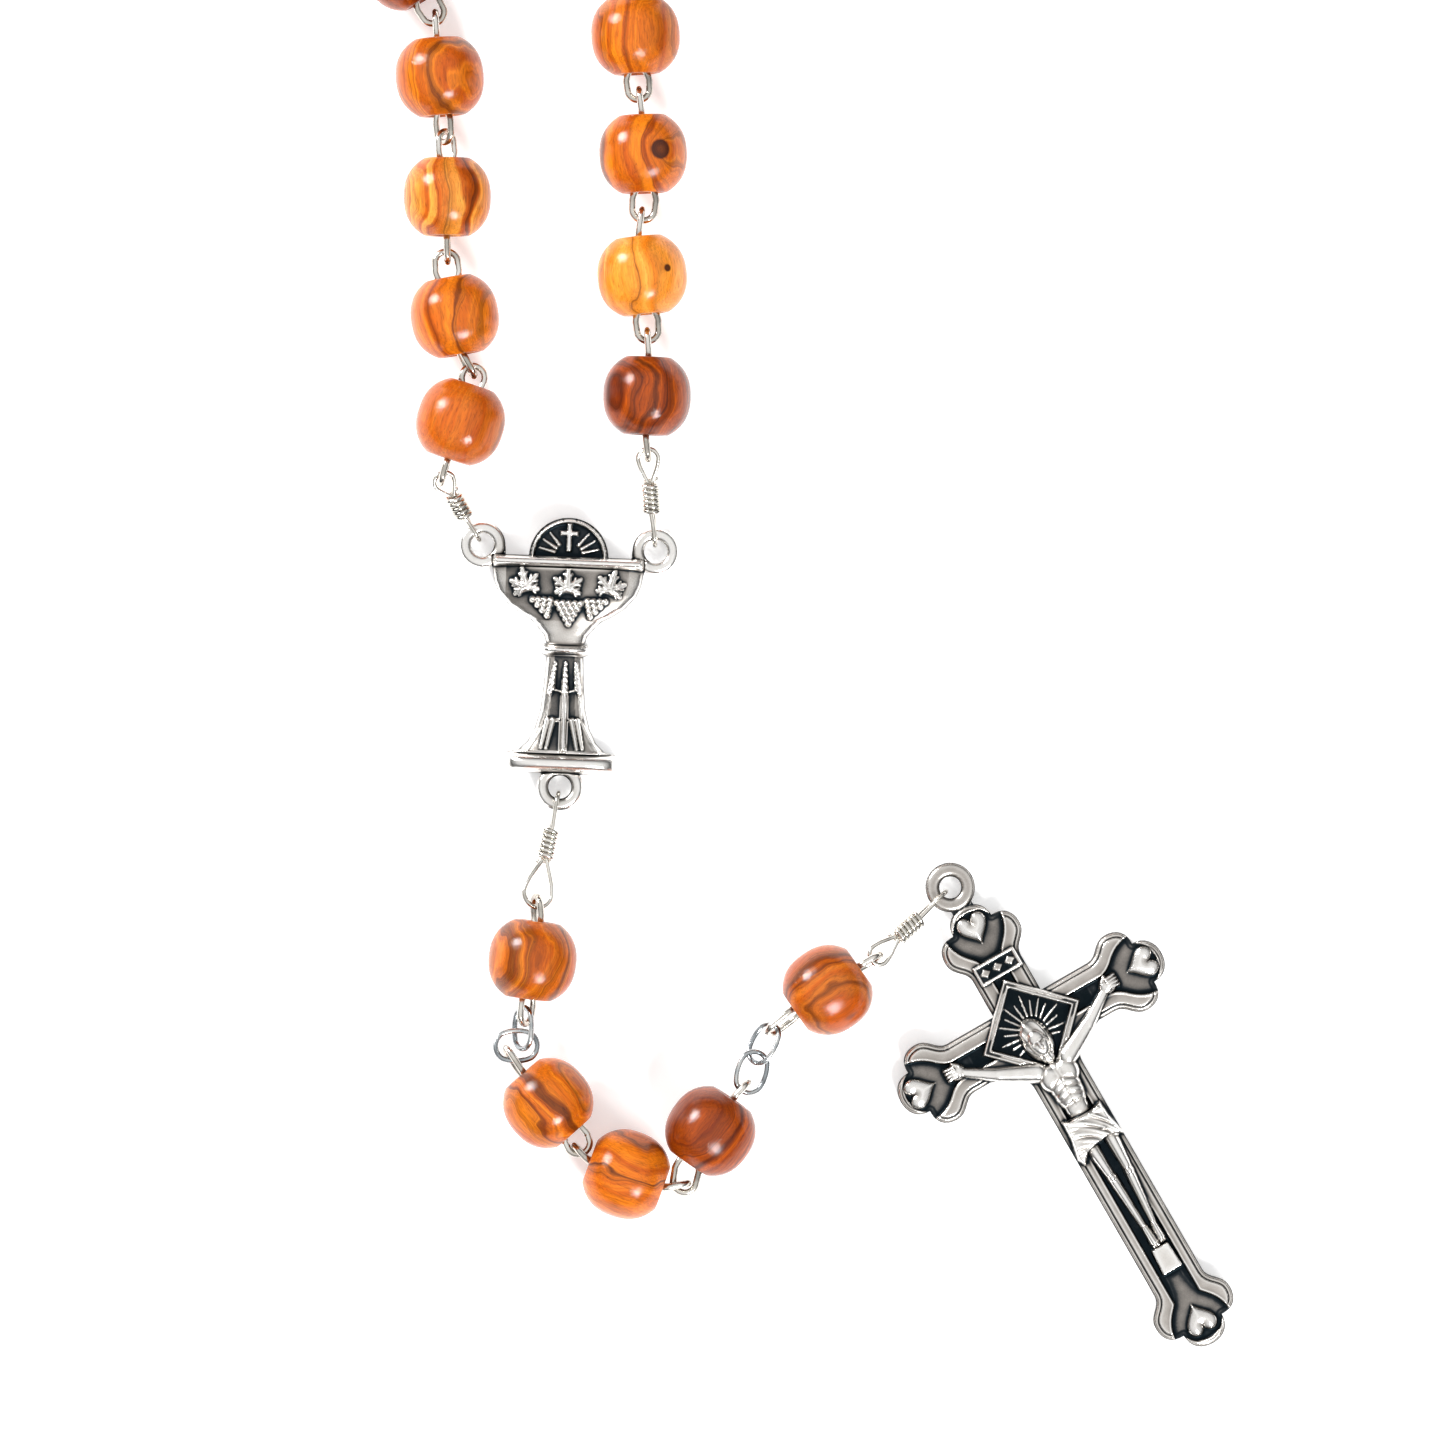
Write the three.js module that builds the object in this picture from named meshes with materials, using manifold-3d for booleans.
// Five-decade rosary laid flat: 59 barrel beads on eye pins, a chalice centrepiece,
// wire-wrapped connectors, oval chain rings and a trefoil-ended crucifix.
// Millimetres. The back of the centrepiece lies on z = 0, with +Y up its stem and +Z up.
import * as THREE from 'three';
import { mergeVertices } from 'three/addons/utils/BufferGeometryUtils.js';
import Module from 'manifold-3d';

const wasm = await Module();
wasm.setup();

// ---- Driving dimensions -------------------------------------------------------------

const beadDiameter = 8;
const beadLength = 7.1;
// 2 would make the barrel a slice of a ball, and higher values fill out its shoulders.
const barrelFullness = 2.4;
const boreDiameter = 1.4;
const mouthDiameter = 3.5;
const mouthDepth = 1.1;

const pinWire = 0.6;
const eyeWidth = 2.75;
const eyeRoot = 0.7;
const endEyeRoot = 2.5;
// How far a wire loop goes past the middle of the link that it makes with its neighbour.
const linkLap = 0.8;

const wrapWire = 0.42;
const coilDiameter = 1.9;
const coilTurn = 0.5;
const coilGroove = 0.15;
const earLoopStart = 0.3;
const earLoopWidth = 2.5;
// How far each loop of a connector runs into its coil.
const coilOverlap = 0.5;

const ringWire = 0.5;
const ringLength = 4.3;
const ringWidth = 3.3;

const castThickness = 2;
const earThickness = 0.9;
const earHeight = 1.4;
const earRadius = 2.1;
const earHole = 1.05;
const bailRadius = 2.25;
const bailHole = 1;

// Everything that hangs from the bores lies with its axis one bead radius above the table.
const axisHeight = beadDiameter / 2;
const linkPitch = 10.9;
const ringPairLength = 5.8;
const pairRingLength = 4.2;

// ---- Materials ----------------------------------------------------------------------

const oliveWood = new THREE.MeshStandardMaterial({ color: 0xb8692a, roughness: 0.35, metalness: 0 });
const pinMetal = new THREE.MeshStandardMaterial({ color: 0xb9b2a6, roughness: 0.3, metalness: 1 });
const wrapMetal = new THREE.MeshStandardMaterial({ color: 0xd8d2c8, roughness: 0.25, metalness: 1 });
const antiqueSilver = new THREE.MeshStandardMaterial({ color: 0x9a948c, roughness: 0.4, metalness: 1 });

// ---- Helpers ------------------------------------------------------------------------

const degrees = THREE.MathUtils.degToRad;
const rosary = new THREE.Group();

// Keeps only the merged positions, which is what makes a geometry one closed body.
function closedBody(geometry) {
  const plain = geometry.index ? geometry.toNonIndexed() : geometry.clone();
  for (const name of Object.keys(plain.attributes)) {
    if (name !== 'position') plain.deleteAttribute(name);
  }
  return mergeVertices(plain, 1e-5);
}

function toSolid(geometry) {
  const body = closedBody(geometry);
  const vertProperties = new Float32Array(body.attributes.position.array);
  const triVerts = new Uint32Array(body.index.array);
  return new wasm.Manifold(new wasm.Mesh({ numProp: 3, vertProperties, triVerts }));
}

function toGeometry(solid) {
  const mesh = solid.getMesh();
  const geometry = new THREE.BufferGeometry();
  geometry.setAttribute('position', new THREE.BufferAttribute(mesh.vertProperties, 3));
  geometry.setIndex(new THREE.BufferAttribute(mesh.triVerts, 1));
  return geometry;
}

function join(geometries) {
  const solids = geometries.map(toSolid);
  return toGeometry(solids.reduce((whole, piece) => whole.add(piece)));
}

function addMesh(name, geometry, material, { x = 0, y = 0, z = 0, heading = 0 } = {}) {
  const mesh = new THREE.Mesh(geometry, material);
  mesh.name = name;
  mesh.rotation.order = 'ZYX';
  mesh.position.set(x, y, z);
  mesh.rotation.z = degrees(heading);
  rosary.add(mesh);
  return mesh;
}

// A bar with its axis on local X, from one end to the other.
function bar(radius, from, to, sides) {
  return new THREE.CylinderGeometry(radius, radius, to - from, sides)
    .rotateZ(Math.PI / 2)
    .translate((from + to) / 2, 0, 0);
}

// A closed wire loop in the local XY plane, long along X: a torus pulled apart at its middle.
function wireLoop({ from, to, width, wire, roll = 0, around = 10, across = 4 }) {
  const radius = (width - wire) / 2;
  const stretch = Math.max((to - from - width) / 2, 0);
  const loop = new THREE.TorusGeometry(radius, wire / 2, across, around);
  const position = loop.attributes.position;
  for (let i = 0; i < position.count; i += 1) {
    const x = position.getX(i);
    const pull = THREE.MathUtils.clamp(x / (0.3 * radius), -1, 1);
    position.setX(i, x + pull * stretch);
  }
  return loop.translate((from + to) / 2, 0, 0).rotateX(degrees(roll));
}

// ---- Beads and their eye pins -------------------------------------------------------

// Radius of the barrel at a distance along the bore from its middle.
function barrelRadius(along) {
  const radius = beadDiameter / 2;
  return radius * Math.sqrt(1 - Math.abs(along / radius) ** barrelFullness);
}

// Half outline of the barrel, from one flat face to the other.
function barrelArc(steps) {
  const points = [];
  for (let i = 0; i <= steps; i += 1) {
    const along = (beadLength / 2) * Math.sin(Math.PI * (i / steps - 0.5));
    points.push(new THREE.Vector2(barrelRadius(along), along));
  }
  return points;
}

function beadGeometry() {
  const half = beadLength / 2;
  const bore = boreDiameter / 2;
  const mouth = mouthDiameter / 2;
  const profile = [
    new THREE.Vector2(bore, half - mouthDepth),
    new THREE.Vector2(bore, mouthDepth - half),
    new THREE.Vector2(mouth, -half),
    ...barrelArc(5),
    new THREE.Vector2(mouth, half),
    new THREE.Vector2(bore, half - mouthDepth),
  ];
  return closedBody(new THREE.LatheGeometry(profile, 12).rotateZ(-Math.PI / 2));
}

// Where the bore of a bead opens: side is -1 nearer the centrepiece and 1 farther.
function mouthOf({ x, y, heading }, side) {
  const reach = (side * beadLength) / 2;
  return [x + reach * Math.cos(degrees(heading)), y + reach * Math.sin(degrees(heading))];
}

// One eye of a pin, from inside the bore mouth to a little past the link that it makes.
function eyeLoop(bead, side, { roll, link }) {
  const mouth = mouthOf(bead, side);
  const [dx, dy] = [link[0] - mouth[0], link[1] - mouth[1]];
  const reach = Math.hypot(dx, dy) + linkLap;
  const width = Math.min(eyeWidth, reach + eyeRoot);
  return wireLoop({ from: -eyeRoot, to: reach, width, wire: pinWire, roll: side * roll })
    .rotateZ(Math.atan2(dy, dx) - degrees(bead.heading))
    .translate((side * beadLength) / 2, 0, 0);
}

function pinGeometry(bead) {
  const shank = beadLength / 2 + 0.2;
  return join([
    bar(pinWire / 2, -shank, shank, 6),
    eyeLoop(bead, -1, bead.near),
    eyeLoop(bead, 1, bead.far),
  ]);
}

function addBead(bead) {
  const place = { x: bead.x, y: bead.y, z: axisHeight, heading: bead.heading };
  addMesh(`bead_${bead.name}`, beadGeometry(), oliveWood, place);
  addMesh(`eye_pin_${bead.name}`, pinGeometry(bead), pinMetal, place);
}

// Fills in the links that a strand doesn't state: halfway between two facing bore mouths.
function linkUp(strand) {
  strand.slice(1).forEach((bead, i) => {
    const before = strand[i];
    const [a, b] = [mouthOf(before, 1), mouthOf(bead, -1)];
    const middle = [(a[0] + b[0]) / 2, (a[1] + b[1]) / 2];
    before.far.link ??= bead.near.link ?? middle;
    bead.near.link ??= before.far.link;
  });
  return strand;
}

// The link that a bead makes with a straight neighbour at the usual spacing.
function freeLink(bead, side) {
  const mouth = mouthOf(bead, side);
  const reach = (side * (linkPitch - beadLength)) / 2;
  const heading = degrees(bead.heading);
  return [mouth[0] + reach * Math.cos(heading), mouth[1] + reach * Math.sin(heading)];
}

// ---- Wire-wrapped connectors --------------------------------------------------------

// Local X runs from the ear to the bead: a loop through the ear, the coil, then the bead loop.
function wrapGeometry({ length, pitch, coilStart, coilTurns, beadLoopWidth, beadRoll = 0 }) {
  const coilEnd = coilStart + coilTurns * coilTurn;
  const profile = [new THREE.Vector2(0, coilStart)];
  for (let turn = 0; turn < coilTurns; turn += 1) {
    const start = coilStart + turn * coilTurn;
    profile.push(new THREE.Vector2(coilDiameter / 2 - coilGroove, start));
    profile.push(new THREE.Vector2(coilDiameter / 2, start + coilTurn / 2));
  }
  profile.push(new THREE.Vector2(coilDiameter / 2 - coilGroove, coilEnd));
  profile.push(new THREE.Vector2(0, coilEnd));
  // The ear loop lies level, so that it goes straight round the ear.
  const earLoop = { from: earLoopStart, to: coilStart + coilOverlap, width: earLoopWidth, roll: 90 };
  const beadLoop = { from: coilEnd - coilOverlap, to: length, width: beadLoopWidth, roll: beadRoll };
  return join([
    wireLoop({ ...earLoop, wire: wrapWire }).rotateY(pitch),
    new THREE.LatheGeometry(profile, 6).rotateZ(-Math.PI / 2),
    wireLoop({ ...beadLoop, wire: wrapWire }),
  ]);
}

// ---- Crucifix and centrepiece -------------------------------------------------------

const beamHalf = 2.5;

// Half of a three-lobed end, on the side where the outline climbs from the beam to the tip.
// The frame is turned so that the tip lies at distance reach along direction (ux, uy).
function lobedEnd(shape, reach, angle) {
  const along = new THREE.Vector2(Math.cos(angle), Math.sin(angle));
  const side = new THREE.Vector2(along.y, -along.x);
  const at = (t, s) => along.clone().multiplyScalar(t).addScaledVector(side, s);
  const curve = (...points) => {
    shape.bezierCurveTo(...points.flatMap(([t, s]) => at(t, s).toArray()));
  };
  const start = at(reach - 6.3, beamHalf);
  shape.lineTo(start.x, start.y);
  curve([reach - 5.2, beamHalf], [reach - 5, 3.9], [reach - 3.7, 3.9]);
  curve([reach - 2.4, 3.9], [reach - 1.8, 3.1], [reach - 1.9, 2]);
  curve([reach - 0.6, 2], [reach, 1.1], [reach, 0]);
  curve([reach, -1.1], [reach - 0.6, -2], [reach - 1.9, -2]);
  curve([reach - 1.8, -3.1], [reach - 2.4, -3.9], [reach - 3.7, -3.9]);
  curve([reach - 5, -3.9], [reach - 5.2, -beamHalf], [reach - 6.3, -beamHalf]);
}

const crossReach = { right: 13.7, top: 12.6, left: 13.7, bottom: 33.2 };
const bailCentre = 14.75;

function crossOutline() {
  const shape = new THREE.Shape();
  shape.moveTo(beamHalf, -beamHalf);
  lobedEnd(shape, crossReach.right, 0);
  shape.lineTo(beamHalf, beamHalf);
  lobedEnd(shape, crossReach.top, Math.PI / 2);
  shape.lineTo(-beamHalf, beamHalf);
  lobedEnd(shape, crossReach.left, Math.PI);
  shape.lineTo(-beamHalf, -beamHalf);
  lobedEnd(shape, crossReach.bottom, -Math.PI / 2);
  shape.closePath();
  return shape;
}

function plate(shape, depth, curveSegments = 3) {
  return new THREE.ExtrudeGeometry(shape, { depth, bevelEnabled: false, curveSegments });
}

function washer(x, y, radius, hole) {
  const shape = new THREE.Shape().absarc(x, y, radius, 0, 2 * Math.PI);
  shape.holes.push(new THREE.Path().absarc(x, y, hole, 0, 2 * Math.PI, true));
  return plate(shape, earThickness, 9).translate(0, 0, earHeight - earThickness / 2);
}

function block(x, y, width, height, top) {
  return new THREE.BoxGeometry(width, height, top).translate(x, y, top / 2);
}

function limb(from, to, radius) {
  const length = Math.hypot(to[0] - from[0], to[1] - from[1]);
  const turn = Math.atan2(to[1] - from[1], to[0] - from[0]);
  return new THREE.CapsuleGeometry(radius, length, 2, 6)
    .rotateZ(turn - Math.PI / 2)
    .translate((from[0] + to[0]) / 2, (from[1] + to[1]) / 2, castThickness);
}

function diamondFrame(outer, inner) {
  const ring = (shape, reach) => {
    shape.moveTo(reach, 0);
    shape.lineTo(0, reach);
    shape.lineTo(-reach, 0);
    shape.lineTo(0, -reach);
    return shape.closePath();
  };
  const shape = ring(new THREE.Shape(), outer);
  shape.holes.push(ring(new THREE.Path(), inner));
  return plate(shape, castThickness + 0.35);
}

function crucifixGeometry() {
  const figureLimbs = [
    limb([-2.1, -3.6], [-8, -0.1], 0.62),
    limb([2.1, -3.6], [8, -0.1], 0.62),
    limb([-0.7, -12], [0.1, -22], 0.75),
    limb([0.7, -12], [0.3, -22], 0.75),
    limb([0, -5], [0, -11], 1.1),
  ];
  const head = new THREE.SphereGeometry(1, 8, 6)
    .scale(1, 1.35, 0.9)
    .translate(-0.1, -1.6, castThickness + 0.2);
  return join([
    plate(crossOutline(), castThickness),
    washer(0, bailCentre, bailRadius, bailHole),
    block(0, 12.3, 1.6, 1.4, 1.9),
    diamondFrame(5, 4.2),
    block(0, 6.4, 4.2, 1.9, castThickness + 0.5),
    block(0.1, -24.3, 1.8, 2.6, castThickness + 0.6),
    head,
    ...figureLimbs,
  ]);
}

const rimHalf = 7;
const ears = { left: [-7.9, 1.3], right: [7.9, 1.3], bottom: [0, -20.5] };

function chaliceOutline() {
  const half = [
    [rimHalf, 0.5], [rimHalf, -0.5], [6.8, -1], [6.3, -2.9], [5.3, -4.05], [4.2, -4.8], [2.9, -5.6],
    [1.95, -6.7], [1.75, -7.4], [2.1, -7.6], [2.1, -8.4], [1.7, -8.6], [1.8, -11], [2.05, -13.5],
    [2.5, -15.2], [3.1, -16.5], [3.8, -17.3], [5, -17.5], [5, -19.2], [1, -19.3],
  ];
  const shape = new THREE.Shape();
  shape.moveTo(3.6, 0.5);
  half.forEach(([x, y]) => shape.lineTo(x, y));
  half.reverse().forEach(([x, y]) => shape.lineTo(-x, y));
  shape.lineTo(-3.6, 0.5);
  shape.absarc(0, 0.5, 3.6, Math.PI, 0, true);
  return shape;
}

function centrepieceGeometry() {
  return join([
    plate(chaliceOutline(), castThickness, 6),
    bar(0.85, -rimHalf, rimHalf, 8).translate(0, 0, castThickness - 0.2),
    block(0, -8, 4.2, 0.9, castThickness + 0.5),
    block(0, -18.35, 10, 1.5, castThickness + 0.5),
    block(0, -13, 0.5, 8, castThickness + 0.3),
    block(-6.7, 0.6, 1.6, 0.8, 1.7),
    block(6.7, 0.6, 1.6, 0.8, 1.7),
    ...Object.values(ears).map(([x, y]) => washer(x, y, earRadius, earHole)),
  ]);
}

// ---- Where the visible beads lie ----------------------------------------------------

// Heading is the way that a bead's bore points, away from the centrepiece, from +X.
// Roll turns an eye about the bore: 0 lies flat, 90 stands on edge.
const leftStrand = linkUp([
  { name: 'left_1', x: -9.8, y: 12.75, heading: 71.6, near: { roll: 90, link: [-11.45, 7.6] },
    far: { roll: 10, link: [-8.75, 17.35] } },
  { name: 'left_2', x: -10.3, y: 22.35, heading: 100, near: { roll: -80 }, far: { roll: 0 } },
  { name: 'left_3', x: -11, y: 33.2, heading: 90, near: { roll: 90 }, far: { roll: 48 } },
  { name: 'left_4', x: -11.65, y: 44.1, heading: 94, near: { roll: -48 }, far: { roll: 90 } },
]);

const rightStrand = linkUp([
  { name: 'right_1', x: 7.2, y: 15.1, heading: 87.5, near: { roll: 90, link: [7.25, 9.8] }, far: { roll: 90 } },
  { name: 'right_2', x: 6.75, y: 26.05, heading: 96, near: { roll: 10 }, far: { roll: 90 } },
  { name: 'right_3', x: 6.85, y: 37.1, heading: 92, near: { roll: 0 }, far: { roll: 90 } },
  { name: 'right_4', x: 6.1, y: 47.9, heading: 93, near: { roll: 0 }, far: { roll: 90 } },
]);

const pendant = linkUp([
  {
    name: 'pendant_1', x: -3.2, y: -36.2, heading: -97.5,
    near: { roll: 70, link: [-2.9, -30.9] }, far: { roll: -60, link: [-3.9, -41.5] },
  },
  {
    name: 'pendant_2', x: -1.8, y: -49.2, heading: -48.7,
    near: { roll: 80, link: [-5.4, -44.6] }, far: { roll: 0, link: [0.95, -53.4] },
  },
  {
    name: 'pendant_3', x: 5.3, y: -55.7, heading: -20,
    near: { roll: 90 }, far: { roll: 90, link: [10.45, -56.55] },
  },
  {
    name: 'pendant_4', x: 12.95, y: -51.75, heading: 55.6,
    near: { roll: 0, link: [10.7, -56.9] }, far: { roll: 90, link: [16.1, -47.6] },
  },
  {
    name: 'pendant_5', x: 23.6, y: -38.9, heading: 35,
    near: { roll: 65, link: [18.6, -42.6] }, far: { roll: 80, link: [28, -36] },
  },
]);
leftStrand.at(-1).far.link = freeLink(leftStrand.at(-1), 1);
rightStrand.at(-1).far.link = freeLink(rightStrand.at(-1), 1);

// The two pairs of chain rings on the pendant, each lying at its own angle.
const chainRings = [
  { name: 'chain_ring_1', x: -4.1, y: -42.4, z: 3.6, heading: -92, roll: 56 },
  { name: 'chain_ring_2', x: -4.7, y: -44, z: 3.8, heading: 181, roll: 13 },
  { name: 'chain_ring_3', x: 16.7, y: -46.4, z: 3.9, heading: 73, roll: 22 },
  { name: 'chain_ring_4', x: 17.8, y: -43.8, z: 3.8, heading: 62, roll: -42 },
];

const centrepieceTurn = -2.2;
const crucifixTurn = 30;
const bail = [34.82, -29.64];

function earPoint([x, y]) {
  const turn = degrees(centrepieceTurn);
  return [x * Math.cos(turn) - y * Math.sin(turn), x * Math.sin(turn) + y * Math.cos(turn)];
}

// A connector from the hole at one end to the bead link at the other, rising to the bores.
function addWrap(name, hole, link, shape) {
  const [dx, dy] = [link[0] - hole[0], link[1] - hole[1]];
  const run = Math.hypot(dx, dy);
  const rise = axisHeight - earHeight;
  const pitch = Math.atan2(rise, run);
  const length = Math.hypot(run, rise) + linkLap - 0.1;
  const mesh = addMesh(name, wrapGeometry({ length, pitch, ...shape }), wrapMetal, {
    x: hole[0],
    y: hole[1],
    z: earHeight,
  });
  mesh.rotation.set(0, -pitch, Math.atan2(dy, dx));
}

addMesh('centrepiece', centrepieceGeometry(), antiqueSilver, { heading: centrepieceTurn });
addMesh('crucifix', crucifixGeometry(), antiqueSilver, {
  x: bail[0] + bailCentre * Math.sin(degrees(crucifixTurn)),
  y: bail[1] - bailCentre * Math.cos(degrees(crucifixTurn)),
  heading: crucifixTurn,
});

addWrap('wire_wrap_left', earPoint(ears.left), leftStrand[0].near.link, {
  coilStart: 3.1, coilTurns: 5, beadLoopWidth: 2.3,
});
addWrap('wire_wrap_right', earPoint(ears.right), rightStrand[0].near.link, {
  coilStart: 3.6, coilTurns: 6, beadLoopWidth: 2.3,
});
addWrap('wire_wrap_pendant', earPoint(ears.bottom), pendant[0].near.link, {
  coilStart: 4, coilTurns: 6, beadLoopWidth: 3.1, beadRoll: -20,
});
addWrap('wire_wrap_crucifix', bail, pendant.at(-1).far.link, {
  coilStart: 4, coilTurns: 6, beadLoopWidth: 2.3, beadRoll: -10,
});

[...leftStrand, ...rightStrand, ...pendant].forEach(addBead);

for (const { name, x, y, z, heading, roll } of chainRings) {
  const ring = wireLoop({
    from: -ringLength / 2, to: ringLength / 2, width: ringWidth, wire: ringWire, roll, around: 12,
  });
  addMesh(name, closedBody(ring), pinMetal, { x, y, z, heading });
}

// ---- The rest of the loop, in stiff lengths of a few beads --------------------------

// Each half of the loop beyond the fourth bead, out to the middle of the third decade. The
// headings of the two halves mirror each other but for the next decade, which closes the loop.
const restOfHalf = [
  { name: 'decade_start', beads: 3, left: 121, right: 59 },
  { name: 'decade_end', beads: 3, left: 150, right: 30 },
  { name: 'our_father_low', beads: 1, rings: true, left: 140, right: 40 },
  { name: 'next_decade_start', beads: 5, left: 101, right: 72 },
  { name: 'next_decade_end', beads: 5, left: 79, right: 108 },
  { name: 'our_father_high', beads: 1, rings: true, left: 41, right: 139 },
  { name: 'top_decade', beads: 5, left: 5, right: 175, openEnd: 'right' },
];

function plainBead(x) {
  const stations = [-1, -0.7, -0.22, 0.22, 0.7, 1].map((share) => (share * beadLength) / 2);
  const profile = [
    new THREE.Vector2(0, -beadLength / 2),
    ...stations.map((along) => new THREE.Vector2(barrelRadius(along), along)),
    new THREE.Vector2(0, beadLength / 2),
  ];
  return new THREE.LatheGeometry(profile, 8)
    .rotateZ(-Math.PI / 2)
    .translate(x, 0, 0);
}

// A pair of crossed oval rings standing in for the two chain rings beside an Our Father bead.
function plainRingPair(start) {
  const wire = { width: ringWidth, wire: ringWire, around: 8 };
  const end = start + ringPairLength;
  return [
    wireLoop({ from: start - linkLap, to: start - linkLap + pairRingLength, ...wire }),
    wireLoop({ from: end + linkLap - pairRingLength, to: end + linkLap, roll: 90, ...wire }),
  ];
}

function segmentLength({ beads, rings }) {
  return beads * linkPitch + (rings ? 2 * ringPairLength : 0);
}

// The loop is open at the top, so one of the two facing ends has no eye.
function segmentGeometry(segment, open) {
  const { beads, rings } = segment;
  const lead = rings ? ringPairLength : 0;
  const length = segmentLength(segment);
  const pieces = [];
  for (let i = 0; i < beads; i += 1) {
    pieces.push(plainBead(lead + (i + 0.5) * linkPitch));
  }
  if (rings) {
    pieces.push(...plainRingPair(0), ...plainRingPair(length - lead));
  } else {
    const eye = { width: eyeWidth, wire: pinWire };
    pieces.push(wireLoop({ from: -linkLap, to: endEyeRoot, ...eye }));
    if (!open) pieces.push(wireLoop({ from: length - endEyeRoot, to: length + linkLap, roll: 90, ...eye }));
  }
  // The shank joins the outermost eyes or inner rings into one stiff body.
  const shankStart = rings ? 3 : 2.2;
  pieces.push(bar(0.35, shankStart, length - shankStart, 4));
  return join(pieces);
}

function addRest(side, startBead) {
  let [x, y] = startBead.far.link;
  for (const segment of restOfHalf) {
    const heading = segment[side];
    const geometry = segmentGeometry(segment, segment.openEnd === side);
    addMesh(`${segment.name}_${side}`, geometry, oliveWood, { x, y, z: axisHeight, heading });
    x += segmentLength(segment) * Math.cos(degrees(heading));
    y += segmentLength(segment) * Math.sin(degrees(heading));
  }
}

addRest('left', leftStrand[3]);
addRest('right', rightStrand[3]);

export default rosary;
